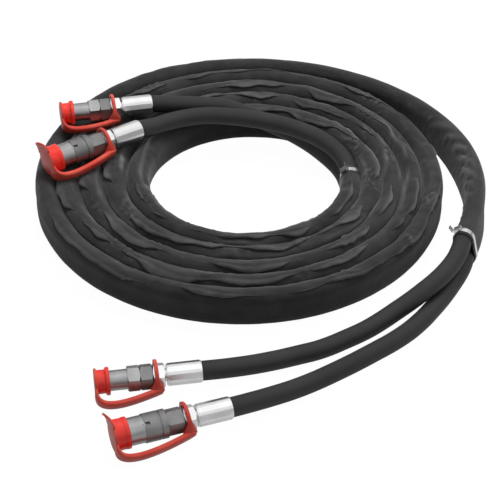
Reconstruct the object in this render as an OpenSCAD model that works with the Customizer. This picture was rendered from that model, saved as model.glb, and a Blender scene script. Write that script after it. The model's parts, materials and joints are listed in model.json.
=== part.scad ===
// Twin hydraulic extension hose: two rubber hoses in one woven protective
// sleeve, coiled flat, with a flat-face plug and socket coupling on each end.

/* [Hose] */
// Outside diameter of each rubber hose
hose_d = 24; // [20:0.5:26]
// Bore of each hose
hose_bore_d = 12.8; // [10:0.2:14]
// Room between the crimped end of the hose and the ferrule's lip
crimp_room = 1; // [0.6:0.2:4]
// Outside diameter of the hose under the crimp
crimp_d = 21.6; // [19:0.2:22]

/* [Protective sleeve] */
// Thickness of the woven sleeve
sleeve_wall = 1; // [0.6:0.1:1.2]
// Room between hose and sleeve
sleeve_play = 0.3; // [0.2:0.1:0.4]
// Room between the two hoses
hose_gap = 0.3; // [0.2:0.1:1]
// Straight mouth of the sleeve at each end, which the tie grips
mouth_len = 16; // [12:1:24]

/* [Coil] */
// Radius of the first quarter turn of the coil
first_r = 140; // [130:1:180]
// Extra swing of the outermost stretch away from the coil
lead_swing = 6; // [0:1:16]
// Lean of the standing pair where it has left the coil
lead_lean = -28; // [-36:1:10]
// Lean of the pair at the sleeve's outer mouth
mouth_lean = 14; // [0:1:30]
// Growth of the radius from one quarter turn to the next, wide side
wide_step = 8.2; // [8:0.1:10]
// Growth of the radius from one quarter turn to the next, narrow side
narrow_step = 6.5; // [6.4:0.1:8]
// Radius of the outermost stretch, which leads out of the coil
leadout_r = 304; // [296:1:320]
// Angle that the outermost stretch turns through
leadout_angle = 110; // [95:1:115]

/* [Ferrule and hose end] */
// Length of the crimped ferrule
ferrule_len = 42; // [41:1:50]
// Outside diameter of the crimped ferrule
ferrule_d = 26.6; // [25:0.2:30]
// Width of one crimp flat on the ferrule
crimp_flats = 8; // [6:1:10]
// Outside diameter of the insert's tail in the hose
tail_d = 12.6; // [10:0.2:12.6]
// Bore through the insert and the adapters
flow_d = 9; // [6:0.5:10]
// Width across the flats of the swivel nut
nut_flats = 27; // [25:1:30]
// Length of the swivel nut
nut_len = 14; // [12:1:16]

/* [Plug coupling] */
// Diameter of the plug's nose
nose_d = 24.5; // [23:0.1:25]
// Length of the nose in front of the hexagon
nose_len = 33; // [30:1:40]
// Width across the flats of the plug's hexagons
plug_flats = 28; // [27:1:32]
// Distance from the nose's face to its locking groove
lock_plane = 10.7; // [9:0.1:12]
// Travel of the plug's poppet
poppet_travel = 7; // [5:0.5:8]

/* [Socket coupling] */
// Diameter of the bore that takes a plug's nose
socket_d = 24.6; // [24.6:0.1:25]
// Outside diameter of the locking sleeve
lock_d = 32.6; // [32:0.1:34]
// Wall of the locking sleeve
lock_wall = 0.8; // [0.6:0.1:0.9]
// Outside diameter of the guard behind the locking sleeve
guard_d = 34.6; // [34.4:0.1:37]
// Distance that the locking sleeve is drawn back
lock_travel = 6; // [4:0.5:6.5]
// Distance that the valve sleeve is pushed in
valve_travel = 16; // [12:1:16]
// Diameter of one locking ball
ball_d = 3; // [2.4:0.1:3]
// Number of locking balls
ball_count = 12; // [8:1:14]

/* [Dust caps] */
// Thickness of the caps' soft walls
cap_wall = 2; // [1.5:0.1:3]
// Thickness of a cap's end plate
cap_plate = 3; // [2:0.5:4]
// Width of the tether strap
strap_w = 12; // [8:0.5:14]
// Thickness of the tether strap
strap_t = 4; // [2:0.2:5]
// Width of the tether's ring along the coupling
ring_w = 5; // [4:0.5:7]
// Radial thickness of the tether's ring
ring_t = 3.4; // [2.5:0.1:4]

/* [Sleeve ties] */
// Width of the steel tie band
tie_w = 7; // [5:0.5:10]
// Thickness of the steel tie band
tie_t = 0.5; // [0.4:0.1:1]
// Room between tie band and sleeve
tie_play = 0.2; // [0.1:0.1:0.5]

/* [Placement] */
// Position of the coil's centre across the footprint
coil_x = -17.5; // [-40:0.5:40]
// Position of the coil's centre along the footprint
coil_y = 99.4; // [60:0.5:140]

/* [Hidden] */
// Clearance of a running fit, on the radius, and of parts that seat face to face
fit = 0.05;
seat = 0.1;
// Overshoot of a cut, length over which two stretches of hose run into each other,
// and what a flat-sided stretch of hose is slimmer than a round one
eps = 1;
run_in = 2;
bare_play = 0.3;
// Radii and heights of the stacked pair of hoses
hose_r = hose_d / 2;
half_pair = (hose_d + hose_gap) / 2;
sleeve_in = hose_r + sleeve_play;
sleeve_out = sleeve_in + sleeve_wall;
tie_in = sleeve_out + tie_play;
tie_out = tie_in + tie_t;
low_z = tie_out;
high_z = low_z + 2 * half_pair;
top_z = high_z + sleeve_out;
// The coil: five turns of quarter arcs, the last of them the lead-out
quarters = 19;
leadout_rings = 14;
lean_at = 74;
lean_spread = 20;
tube_sides = 12;
oval_sides = 12;

// Routes of the bare hose ends, each from the sleeve's mouth to its ferrule,
// as points [x, y, height above the floor] measured from the coil's centre
front_pressure = [
    [272, -153, 37.8], [264.5, -171, 37.3], [253, -191, 36.8], [238.8, -209.8, 35.4], [221.6, -226.2, 31.7],
    [203.5, -239.5, 25.5], [184, -251.5, 18.5], [166, -264, 13.8], [148, -278, 12.3], [122, -296, 12.3],
    [88.6, -315.7, 12.3], [65, -325, 12.5], [20, -341, 13.5], [-20, -353, 16]
];
front_return = [
    [278, -152, 13], [270.5, -170, 12.3], [260, -191, 12.3], [248, -213, 12.3], [234.5, -234.5, 12.3],
    [212, -266.5, 12.3], [188, -292.5, 12.3], [152, -322, 12.3], [110, -353, 12.3], [65, -382, 12.5],
    [28, -402, 14.5]
];
rear_pressure = [
    [138, 24, 39], [129, 49, 44.5], [104, 76, 52], [74, 93, 57], [36, 108, 60], [5, 115, 61.5],
    [-25, 119, 63], [-55, 120, 63.8], [-84, 114, 64], [-112, 101, 64.8], [-133, 85, 67]
];
rear_return = [
    [138, 24, 13.5], [131, 51, 15.5], [108, 87, 20], [73, 117, 29], [34, 134, 40], [5, 137, 51.5],
    [-25, 143, 61], [-52, 145, 64.2], [-80, 146, 64.6], [-106, 146, 65.6]
];
// Where each ferrule starts: [x, y, z, yaw, pitch], seen from the coil's centre
front_plug_at = [-54, -362.7, 19.8, 189.3, 0];
front_socket_at = [-19, -427.2, 20.6, 199.4, 0];
rear_plug_at = [-134, 139, 70.6, 193, 1];
rear_socket_at = [-147.5, 74, 71.6, 212.4, 0];
// Direction round the coupling and bow of each tether strap
front_plug_strap = [65, 12];
front_socket_strap = [65, 12];
rear_plug_strap = [58, 7];
rear_socket_strap = [66, 12];

// Stations along a coupling, in mm from the hose side of its ferrule
ferrule_lip = 2;
crimp_depth = ferrule_len - ferrule_lip - crimp_room;
nut_z = ferrule_len + 2.5;
stem_head_z = nut_z + 2;
adapter_face_z = stem_head_z + 3.5;
adapter_z = nut_z + nut_len + 0.5;
nut_cavity_r = 10;
ring_z = nut_z + nut_len - ring_w - 1.5;
ring_in_r = nut_flats / 2 / cos(30) + seat;
ring_out_r = ring_in_r + ring_t;
spigot_r = 11;
spigot_len = 9;
plug_hex_len = 15;
plug_z = adapter_z + plug_hex_len;
nose_z = plug_z + plug_hex_len;
nose_face_z = nose_z + nose_len;
poppet_bore_r = 9;
poppet_lip_r = 8;
poppet_lip = 3.2;
poppet_skirt = 13;
cap_grip_plug = lock_plane + 1.3;
plug_cap_z = nose_face_z - cap_grip_plug;
plug_cap_end_z = nose_face_z + 1 + cap_plate + 2;
socket_hex_len = 20;
socket_z = adapter_z + socket_hex_len;
guard_z = socket_z + 9;
guard_len = 18;
cup_depth = lock_travel + 1;
lock_z = guard_z + guard_len - 0.8;
spring_room = 1.3;
barrel_r = lock_d / 2 - lock_wall - spring_room;
socket_face_z = guard_z + guard_len + 31;
lock_land_z = socket_face_z - 11;
ball_z = socket_face_z - 5.3;
retain_z = socket_face_z - 2;
valve_len = 23;
stem_head_r = 8;
stem_head_len = 4;
stem_disc = 3;
cap_grip_socket = 13;
socket_cap_z = socket_face_z - cap_grip_socket;
socket_cap_end_z = socket_face_z + 1 + cap_plate + 2;

// ---------------------------------------------------------------- functions
function unit(v) = v / norm(v);
function heading(a) = [cos(a), sin(a), 0];
function arc_step(k) = (k % 4 == 0 || k % 4 == 3) ? wide_step : narrow_step;
function arc_r(k) = k == quarters ? leadout_r : k == 0 ? first_r : arc_r(k - 1) + arc_step(k - 1);
function arc_centre(k) =
    k == 0 ? [0, 0, 0] : arc_centre(k - 1) + (arc_r(k - 1) - arc_r(k)) * heading(-90 * k);
// Point of the lead-out at angle a past its start, its sideways direction and its twist
function lead_side(a) = heading(-90 * quarters - a);
function lead_twist(a) = lead_lean * exp(-pow((a - lean_at) / lean_spread, 2)) + mouth_lean * pow(a / leadout_angle, 2);
function lead_height(a) = low_z + half_pair * cos(lead_twist(a));
function lead_point(a) =
    arc_centre(quarters) + (leadout_r + lead_swing * pow(sin(180 * a / leadout_angle), 2)) * lead_side(a)
    + [0, 0, lead_height(a)];
function stack_axis(a) = -sin(lead_twist(a)) * lead_side(a) + [0, 0, cos(lead_twist(a))];
function cross_axis(a) = cos(lead_twist(a)) * lead_side(a) + [0, 0, sin(lead_twist(a))];
// Outline of the flat oval round the pair, as [along the stack, across it]
function oval(r) = [
    for (i = [0:oval_sides - 1])
        let (a = -360 * (i + 0.5) / oval_sides) [(cos(a) > 0 ? half_pair : -half_pair) + r * cos(a), r * sin(a)]
];
function lead_dir(a) = heading(-90 * quarters - a - 90);
function lead_ring(a, r) = [for (q = oval(r)) lead_point(a) + q[0] * stack_axis(a) + q[1] * cross_axis(a)];
function lead_rings(r) = [for (a = lead_angles()) lead_ring(a, r)];
function mouth_ring(r, by) = [for (q = lead_ring(leadout_angle, r)) q + by * lead_dir(leadout_angle)];
function lead_angles() = [for (i = [0:leadout_rings]) leadout_angle * i / leadout_rings];
function mouth_heading() = -90 * quarters - leadout_angle - 90;
// Ring of points round p, square to direction d
function ring(p, d, r, n) =
    let (side = unit(cross(d, [0, 0, 1])), up = cross(side, d))
    [for (i = [0:n - 1]) let (a = 360 * i / n) p + r * (cos(a) * side - sin(a) * up)];
// Direction of a route at point i, with its two end directions given
function route_dir(pts, i, first, last) =
    i == 0 ? first : i == len(pts) - 1 ? last : unit(unit(pts[i + 1] - pts[i]) + unit(pts[i] - pts[i - 1]));
function coupling_dir(at) = [cos(at[4]) * cos(at[3]), cos(at[4]) * sin(at[3]), sin(at[4])];
function base_of(at) = [at[0], at[1], at[2]];
function quads(rings, n) = [
    for (i = [0:rings - 2], j = [0:n - 1])
        [i * n + j, i * n + (j + 1) % n, (i + 1) * n + (j + 1) % n, (i + 1) * n + j]
];
function flipped(faces) = [for (f = faces) [for (i = [len(f) - 1:-1:0]) f[i]]];

// ---------------------------------------------------------------- shared shapes
module placed() translate([coil_x, coil_y, 0]) children();

module on_coupling(at)
    placed() translate(base_of(at)) rotate([0, 90 - at[4], at[3]]) children();

// Closed tube through a list of rings with n points each
module skin(rings, n) {
    count = len(rings);
    ends = [[for (j = [n - 1:-1:0]) j], [for (j = [0:n - 1]) (count - 1) * n + j]];
    polyhedron(points = [for (r = rings) each r], faces = flipped(concat(quads(count, n), ends)), convexity = 8);
}

module tube(pts, first, last, r)
    skin([for (i = [0:len(pts) - 1]) ring(pts[i], route_dir(pts, i, first, last), r, tube_sides)], tube_sides);

// Round wire wound into a helix about Z
module helix(z0, z1, r, wire_r, turns, steps = 12, sides = 5) {
    count = turns * steps + 1;
    skin([
        for (i = [0:count - 1])
            let (a = 360 * i / steps, rise = (z1 - z0 - 2 * wire_r) / (turns * steps))
            [for (j = [0:sides - 1])
                let (b = -360 * j / sides, q = r + wire_r * cos(b))
                [q * cos(a), q * sin(a), z0 + wire_r + rise * i + wire_r * sin(b)]]
    ], sides);
}

module hexagon(flats, len) cylinder(d = flats / cos(30), h = len, $fn = 6);

// Hexagonal bar with its corners turned off at both ends
module chamfered_hexagon(flats, len, chamfer = 1.2) {
    corner_r = flats / 2 / cos(30);
    intersection() {
        hexagon(flats, len);
        rotate_extrude($fn = 48)
            polygon([
                [0, 0], [flats / 2, 0], [corner_r, chamfer], [corner_r, len - chamfer],
                [flats / 2, len], [0, len]
            ]);
    }
}

// Cross-section of the flat oval, its long side along X
module oval_2d(r) {
    for (s = [-1, 1]) translate([s * half_pair, 0]) circle(r = r, $fn = 48);
    square([2 * half_pair, 2 * r], center = true);
}

module sleeve_2d() difference() {
    oval_2d(sleeve_out);
    oval_2d(sleeve_in);
}

// ---------------------------------------------------------------- hoses and sleeve
module quarter_arc(k)
    translate(arc_centre(k)) rotate([0, 0, -90 * (k + 1)])
        rotate_extrude(angle = 90, $fn = 160) translate([arc_r(k), 0]) children();

// One whole hose: side is 1 for the upper hose of the stack and -1 for the lower
module hose(side, front_route, front_at, rear_route, rear_at) {
    height = side > 0 ? high_z : low_z;
    lead = [for (a = lead_angles()) lead_point(a) + side * half_pair * stack_axis(a)];
    mouth_end = lead[leadout_rings] + mouth_len * lead_dir(leadout_angle);
    start_dir = heading(-90 * quarters - 90);
    placed() {
        for (k = [0:quarters - 1]) quarter_arc(k) translate([0, height]) circle(r = hose_r, $fn = 48);
        tube(concat([lead[0] - run_in * start_dir], lead, [mouth_end], front_route, [base_of(front_at)]),
            start_dir, coupling_dir(front_at), hose_r - bare_play);
        tube(concat([[first_r, -run_in, height], [first_r, mouth_len, height]], rear_route, [base_of(rear_at)]),
            heading(90), coupling_dir(rear_at), hose_r - bare_play);
    }
    for (at = [front_at, rear_at]) on_coupling(at) difference() {
        translate([0, 0, -run_in]) cylinder(d = crimp_d, h = crimp_depth + run_in, $fn = 48);
        translate([0, 0, 1]) cylinder(d = hose_bore_d, h = crimp_depth, $fn = 48);
    }
}

module hose_pressure()
    color("#2b2b2b") hose(1, front_pressure, front_plug_at, rear_pressure, rear_socket_at);

module hose_return()
    color("#303030") hose(-1, front_return, front_socket_at, rear_return, rear_plug_at);

// The woven sleeve: arcs of a hollow flat oval, a lead-out in which the
// standing pair leans, and a straight mouth at each end
module protective_sleeve() color("#3a3a3c") placed() {
    for (k = [0:quarters - 1]) quarter_arc(k) translate([0, low_z + half_pair]) rotate(90) sleeve_2d();
    difference() {
        skin(concat(lead_rings(sleeve_out - fit), [mouth_ring(sleeve_out - fit, mouth_len)]), oval_sides);
        skin(concat(
            [[for (q = lead_ring(0, sleeve_in + fit)) q - eps * lead_dir(0)]],
            lead_rings(sleeve_in + fit),
            [mouth_ring(sleeve_in + fit, mouth_len + eps)]
        ), oval_sides);
    }
    inner_mouth() linear_extrude(mouth_len) sleeve_2d();
}

module outer_mouth()
    translate(lead_point(leadout_angle)) rotate([0, 90, mouth_heading()]) rotate(lead_twist(leadout_angle)) children();

module inner_mouth() translate([first_r, 0, low_z + half_pair]) rotate([0, 90, 90]) children();

// Steel band round the sleeve's mouth, with a locking buckle on top
module tie_band() translate([0, 0, (mouth_len - tie_w) / 2]) linear_extrude(tie_w) difference() {
    oval_2d(tie_out);
    oval_2d(tie_in);
}

// Buckle over the upper hose, turned towards the coil's centre, with its folded tail
module tie_buckle(turn) translate([-half_pair, 0, mouth_len / 2]) rotate(180 + turn) {
    base = tie_out + seat;
    difference() {
        translate([base, -5, -tie_w / 2 - 1]) cube([3.4, 10, tie_w + 2]);
        translate([base + 1.2 + tie_t, -5 - eps, -1.5]) cube([3.4, 10 + 2 * eps, 3]);
    }
    translate([base + 1.2, 4, -tie_w / 2]) cube([tie_t, 4, tie_w]);
    translate([base + 1.2, 7.4, -tie_w / 2]) cube([8, tie_t, tie_w]);
}

module sleeve_tie_outer() color("silver") placed() outer_mouth() tie_band();

module tie_buckle_outer() color("silver") placed() outer_mouth() tie_buckle(25);

module sleeve_tie_inner() color("silver") placed() inner_mouth() tie_band();

module tie_buckle_inner() color("silver") placed() inner_mouth() tie_buckle(-40);

// ---------------------------------------------------------------- hose end fitting
module ferrule(at) color("#c9ccd0") on_coupling(at) {
    difference() {
        union() {
            translate([0, 0, 1.5]) intersection() {
                cylinder(d = ferrule_d / cos(180 / crimp_flats), h = ferrule_len - 3, $fn = crimp_flats);
                cylinder(d = ferrule_d + 0.8, h = ferrule_len - 3, $fn = 64);
            }
            cylinder(d = ferrule_d - 1, h = ferrule_len, $fn = 64);
        }
        translate([0, 0, -eps]) cylinder(d = crimp_d + 2 * fit, h = ferrule_len - ferrule_lip + eps, $fn = 64);
        cylinder(r = 7.5 + fit, h = ferrule_len + eps, $fn = 64);
    }
}

// Barbed insert: tail in the hose, shoulder in the ferrule, head held by the nut
module insert(at) color("#b8bbbf") on_coupling(at) difference() {
    rotate_extrude($fn = 64) polygon([
        [0, 3], [tail_d / 2 - 0.8, 3], [tail_d / 2, 8], [tail_d / 2 - 0.6, 8], [tail_d / 2, 14],
        [tail_d / 2 - 0.6, 14], [tail_d / 2, 20], [tail_d / 2 - 0.6, 20], [tail_d / 2, 26],
        [tail_d / 2, ferrule_len - 2.4], [7.5, ferrule_len - 2.4], [7.5, stem_head_z],
        [9.4, stem_head_z], [9.4, adapter_face_z - 0.2], [0, adapter_face_z - 0.2]
    ]);
    translate([0, 0, -eps]) cylinder(d = flow_d, h = adapter_face_z + 2 * eps, $fn = 48);
}

// Swivel nut: a lip behind the insert's head and a bore over the adapter's thread
module swivel_nut(at) color("#d5d7da") on_coupling(at) translate([0, 0, nut_z]) difference() {
    chamfered_hexagon(nut_flats, nut_len);
    translate([0, 0, -eps]) cylinder(r = 7.5 + 0.2, h = nut_len, $fn = 64);
    translate([0, 0, stem_head_z - nut_z - 0.2]) cylinder(r = nut_cavity_r + fit, h = nut_len, $fn = 64);
}

// ---------------------------------------------------------------- plug coupling
// Adapter: thread in the swivel nut, hexagon, spigot in the coupling's body
module adapter(len) difference() {
    union() {
        translate([0, 0, adapter_face_z]) cylinder(r = nut_cavity_r, h = adapter_z - adapter_face_z + eps, $fn = 64);
        translate([0, 0, adapter_z]) chamfered_hexagon(plug_flats, len);
        translate([0, 0, adapter_z + len - eps]) cylinder(r = spigot_r, h = spigot_len + eps, $fn = 64);
    }
    translate([0, 0, adapter_face_z - eps]) cylinder(d = flow_d, h = adapter_z + len, $fn = 48);
}

module plug_adapter(at) color("#7d8084") on_coupling(at) adapter(plug_hex_len - seat);

module plug_body(at) color("#85888c") on_coupling(at) difference() {
    union() {
        translate([0, 0, plug_z]) chamfered_hexagon(plug_flats, plug_hex_len);
        translate([0, 0, nose_z - eps]) cylinder(d = nose_d, h = nose_len + eps - 1, $fn = 96);
        translate([0, 0, nose_face_z - 1]) cylinder(d1 = nose_d, d2 = nose_d - 1.6, h = 1, $fn = 96);
    }
    // locking groove
    translate([0, 0, nose_face_z - lock_plane]) rotate_extrude($fn = 96)
        translate([nose_d / 2 + 0.4, 0]) circle(d = ball_d, $fn = 32);
    translate([0, 0, plug_z - eps]) cylinder(r = spigot_r + fit, h = spigot_len + eps + seat, $fn = 64);
    translate([0, 0, plug_z]) cylinder(r = poppet_bore_r, h = nose_face_z - poppet_lip - plug_z, $fn = 64);
    translate([0, 0, plug_z]) cylinder(r = poppet_lip_r, h = nose_face_z, $fn = 64);
    // seal groove
    translate([0, 0, nose_face_z - 2.3]) cylinder(r = 9.2, h = 1.3, $fn = 64);
}

module poppet(at) color("#a9acb0") on_coupling(at) difference() {
    skirt_top = nose_face_z - poppet_lip - seat;
    union() {
        translate([0, 0, skirt_top - poppet_skirt]) cylinder(r = poppet_bore_r - fit, h = poppet_skirt, $fn = 64);
        translate([0, 0, skirt_top - eps]) cylinder(r = poppet_lip_r - fit, h = poppet_lip + seat + eps, $fn = 64);
    }
    translate([0, 0, skirt_top - poppet_skirt - eps]) cylinder(r = 6.4, h = poppet_skirt - 2, $fn = 48);
    for (a = [0:90:270]) rotate(a) translate([0, 0, skirt_top - 5.5])
        rotate([0, 90, 0]) cylinder(r = 1.8, h = 2 * poppet_bore_r, $fn = 24);
}

module poppet_spring(at) color("#9a9da1") on_coupling(at)
    helix(plug_z + spigot_len + 0.2, nose_face_z - poppet_lip - poppet_skirt - 0.3, 7.6, 0.8, 5);

module poppet_seal(at) color("#202020") on_coupling(at)
    translate([0, 0, nose_face_z - 1.65]) rotate_extrude($fn = 64)
        translate([poppet_lip_r + 0.55, 0]) circle(r = 0.5, $fn = 24);

// ---------------------------------------------------------------- socket coupling
module socket_adapter(at) color("#7d8084") on_coupling(at) adapter(socket_hex_len - seat);

// Body: rear ring, guard with a cup that the locking sleeve draws back into, and barrel
module socket_body(at) color("#808387") on_coupling(at) difference() {
    guard_top = guard_z + guard_len;
    union() {
        translate([0, 0, socket_z]) cylinder(d = guard_d, h = 7, $fn = 96);
        translate([0, 0, socket_z + 6]) cylinder(d = guard_d - 2.4, h = guard_z - socket_z, $fn = 96);
        translate([0, 0, guard_z]) difference() {
            cylinder(d = guard_d, h = guard_len, $fn = 96);
            translate([0, 0, guard_len - cup_depth]) cylinder(d = lock_d + 4 * fit, h = guard_len, $fn = 96);
            // notch that lets the sleeve's detent ball pass
            rotate(150) translate([0, -1.8, guard_len - lock_travel - 0.4]) cube([guard_d, 3.6, guard_len]);
        }
        translate([0, 0, guard_z + eps]) cylinder(r = barrel_r, h = socket_face_z - guard_z - eps, $fn = 96);
    }
    translate([0, 0, socket_z - eps]) cylinder(r = spigot_r + fit, h = spigot_len + 2 * eps, $fn = 64);
    translate([0, 0, socket_z + spigot_len + seat]) cylinder(d = socket_d, h = socket_face_z, $fn = 96);
    // holes of the locking balls
    for (i = [0:ball_count - 1]) rotate(360 * i / ball_count) translate([0, 0, ball_z])
        rotate([0, 90, 0]) translate([0, 0, socket_d / 2 - eps])
            cylinder(d = ball_d + 2 * fit, h = barrel_r, $fn = 32);
    // groove of the retaining ring
    translate([0, 0, retain_z]) difference() {
        cylinder(r = barrel_r + eps, h = 1.4, $fn = 96);
        translate([0, 0, -eps]) cylinder(r = barrel_r - 0.8, h = 4, $fn = 96);
    }
}

module lock_sleeve(at) color("#8d9094") on_coupling(at) {
    bore_r = lock_d / 2 - lock_wall;
    land_r = barrel_r + 2 * fit;
    rotate_extrude($fn = 96) polygon([
        [bore_r, lock_z], [lock_d / 2, lock_z], [lock_d / 2, socket_face_z - 0.8],
        [lock_d / 2 - 0.7, socket_face_z], [bore_r, socket_face_z], [bore_r, lock_land_z + 3],
        [land_r, lock_land_z + 3], [land_r, lock_land_z], [bore_r, lock_land_z]
    ]);
    // detent stud, in front of the guard's notch
    rotate(150) translate([lock_d / 2 - lock_wall / 2, 0, guard_z + guard_len + 1.4])
        rotate([0, 90, 0]) cylinder(d1 = 2.2, d2 = 1.2, h = lock_wall / 2 + 0.8, $fn = 32);
}

module lock_spring(at) color("#9a9da1") on_coupling(at)
    helix(guard_z + guard_len - cup_depth + 0.2, lock_land_z - 0.2, barrel_r + 0.75, 0.45, 5, 24);

module lock_balls(at) color("silver") on_coupling(at)
    for (i = [0:ball_count - 1]) rotate(360 * i / ball_count)
        translate([socket_d / 2 + ball_d / 2 - fit, 0, ball_z]) sphere(d = ball_d, $fn = 32);

// Split wire ring that stops the locking sleeve
module retaining_ring(at) color("#6f7276") on_coupling(at) translate([0, 0, retain_z + 0.1]) difference() {
    cylinder(r = barrel_r + 1, h = 1.2, $fn = 96);
    translate([0, 0, -eps]) cylinder(r = barrel_r - 0.7, h = 4, $fn = 96);
    translate([0, -1.5, -eps]) cube([2 * barrel_r, 3, 4]);
}

// Fixed centre stem: flat head, shaft and a disc with flow holes
module centre_stem(at) color("#a9acb0") on_coupling(at) difference() {
    disc_z = socket_z + spigot_len + 2 * seat;
    union() {
        translate([0, 0, disc_z]) cylinder(d = socket_d - 2 * fit, h = stem_disc, $fn = 96);
        translate([0, 0, disc_z]) cylinder(r = 3.4, h = socket_face_z - disc_z - 1, $fn = 48);
        translate([0, 0, socket_face_z - stem_head_len]) cylinder(r = stem_head_r, h = stem_head_len, $fn = 64);
    }
    for (a = [0:60:300]) rotate(a) translate([6.6, 0, disc_z - eps]) cylinder(r = 2.2, h = stem_disc + 2 * eps, $fn = 24);
}

module valve_sleeve(at) color("#b4b7bb") on_coupling(at) difference() {
    translate([0, 0, socket_face_z - valve_len]) cylinder(d = socket_d - 4 * fit, h = valve_len, $fn = 96);
    translate([0, 0, socket_face_z - valve_len - eps]) cylinder(r = 9.6, h = valve_len - stem_head_len, $fn = 64);
    translate([0, 0, socket_face_z - valve_len]) cylinder(r = stem_head_r + fit, h = valve_len + eps, $fn = 64);
}

module valve_spring(at) color("#9a9da1") on_coupling(at)
    helix(socket_z + spigot_len + 2 * seat + stem_disc + 0.2, socket_face_z - valve_len - 0.2, 10.8, 0.6, 5);

// ---------------------------------------------------------------- dust caps
// Soft cap for the plug's nose: cup, collar rib at its mouth and an end plate
module plug_cap(at, strap) color("#c8322d") on_coupling(at) {
    out_r = nose_d / 2 + cap_wall;
    difference() {
        union() {
            translate([0, 0, plug_cap_z]) cylinder(r = out_r, h = plug_cap_end_z - plug_cap_z, $fn = 64);
            translate([0, 0, plug_cap_z]) cylinder(r = out_r + 2, h = 5, $fn = 64);
            end_plate(plug_cap_end_z - cap_plate, out_r + 2, strap);
        }
        translate([0, 0, plug_cap_z - eps]) cylinder(d = nose_d + 2 * fit, h = nose_face_z + 1 - plug_cap_z + eps, $fn = 96);
    }
}

// Soft cap for the socket: cup over the locking sleeve, end plate with a pull tab
module socket_cap(at, strap) color("#c8322d") on_coupling(at) {
    out_r = lock_d / 2 + cap_wall;
    tab_reach = out_r + 10;
    difference() {
        union() {
            translate([0, 0, socket_cap_z]) cylinder(r = out_r, h = socket_cap_end_z - socket_cap_z, $fn = 64);
            end_plate(socket_cap_end_z - cap_plate, out_r + 1, strap);
            translate([0, 0, socket_cap_end_z - cap_plate + seat]) rotate(180 + strap[0] / 2)
                linear_extrude(cap_plate - 2 * seat)
                polygon([[0, -out_r * 0.96], [tab_reach - 3, -7], [tab_reach, -3], [tab_reach, 3], [tab_reach - 3, 7], [0, out_r * 0.96]]);
        }
        translate([0, 0, socket_cap_z - eps])
            cylinder(d = lock_d + 2 * fit, h = socket_face_z + 1 - socket_cap_z + eps, $fn = 96);
    }
}

// End plate of a cap with the lug that carries the strap
module end_plate(z, r, strap) translate([0, 0, z]) {
    cylinder(r = r, h = cap_plate, $fn = 64);
    rotate(strap[0]) translate([0, -strap_w / 2, seat]) cube([cap_lug_r(r), strap_w, cap_plate - 2 * seat]);
}

function cap_lug_r(r) = r + 2;

// Ring of the tether, snug round the swivel nut, with the lug of the strap
module cap_ring(at, strap) color("#c8322d") on_coupling(at) translate([0, 0, ring_z]) difference() {
    union() {
        cylinder(r = ring_out_r, h = ring_w, $fn = 64);
        rotate(strap[0]) translate([0, -strap_w / 2, seat]) cube([ring_out_r + 2, strap_w, ring_w - 2 * seat]);
    }
    translate([0, 0, -eps]) cylinder(r = ring_in_r, h = ring_w + 2 * eps, $fn = 64);
}

// Strap in the plane of the coupling's axis, bowed away from it, lug to lug
module cap_strap(at, strap, cap_z, plate_r) color("#c8322d") on_coupling(at) rotate(strap[0]) {
    steps = 14;
    r0 = ring_out_r + 2;
    r1 = cap_lug_r(plate_r);
    z0 = ring_z + ring_w / 2;
    z1 = cap_z + cap_plate / 2;
    path = [for (i = [0:steps]) let (t = i / steps)
        [r0 + (r1 - r0) * t + strap[1] * pow(sin(180 * t), 0.8), z0 + (z1 - z0) * (1 - cos(180 * t)) / 2]];
    skin([
        for (i = [0:steps])
            let (
                d = i == 0 ? [1, 0] : i == steps ? [-1, 0] : unit(path[i + 1] - path[i - 1]),
                n = [d[1], -d[0]] * strap_t / 2,
                p = path[i]
            )
            [for (s = [[-1, -1], [1, -1], [1, 1], [-1, 1]])
                [p[0] + s[0] * n[0], s[1] * strap_w / 2, p[1] + s[0] * n[1]]]
    ], 4);
}

module plug_cap_strap(at, strap) cap_strap(at, strap, plug_cap_end_z - cap_plate, nose_d / 2 + cap_wall + 2);

module socket_cap_strap(at, strap) cap_strap(at, strap, socket_cap_end_z - cap_plate, lock_d / 2 + cap_wall + 1);

// ---------------------------------------------------------------- the assembly
hose_pressure();
hose_return();
protective_sleeve();
sleeve_tie_outer();
tie_buckle_outer();
sleeve_tie_inner();
tie_buckle_inner();
ferrule(front_plug_at);  // ferrule_front_plug
insert(front_plug_at);  // insert_front_plug
swivel_nut(front_plug_at);  // swivel_nut_front_plug
ferrule(front_socket_at);  // ferrule_front_socket
insert(front_socket_at);  // insert_front_socket
swivel_nut(front_socket_at);  // swivel_nut_front_socket
ferrule(rear_plug_at);  // ferrule_rear_plug
insert(rear_plug_at);  // insert_rear_plug
swivel_nut(rear_plug_at);  // swivel_nut_rear_plug
ferrule(rear_socket_at);  // ferrule_rear_socket
insert(rear_socket_at);  // insert_rear_socket
swivel_nut(rear_socket_at);  // swivel_nut_rear_socket
plug_adapter(front_plug_at);  // plug_adapter_front
plug_body(front_plug_at);  // plug_body_front
poppet(front_plug_at);  // poppet_front
poppet_spring(front_plug_at);  // poppet_spring_front
poppet_seal(front_plug_at);  // poppet_seal_front
plug_adapter(rear_plug_at);  // plug_adapter_rear
plug_body(rear_plug_at);  // plug_body_rear
poppet(rear_plug_at);  // poppet_rear
poppet_spring(rear_plug_at);  // poppet_spring_rear
poppet_seal(rear_plug_at);  // poppet_seal_rear
socket_adapter(front_socket_at);  // socket_adapter_front
socket_body(front_socket_at);  // socket_body_front
lock_sleeve(front_socket_at);  // lock_sleeve_front
lock_spring(front_socket_at);  // lock_spring_front
lock_balls(front_socket_at);  // lock_balls_front
retaining_ring(front_socket_at);  // retaining_ring_front
centre_stem(front_socket_at);  // centre_stem_front
valve_sleeve(front_socket_at);  // valve_sleeve_front
valve_spring(front_socket_at);  // valve_spring_front
socket_adapter(rear_socket_at);  // socket_adapter_rear
socket_body(rear_socket_at);  // socket_body_rear
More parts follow.
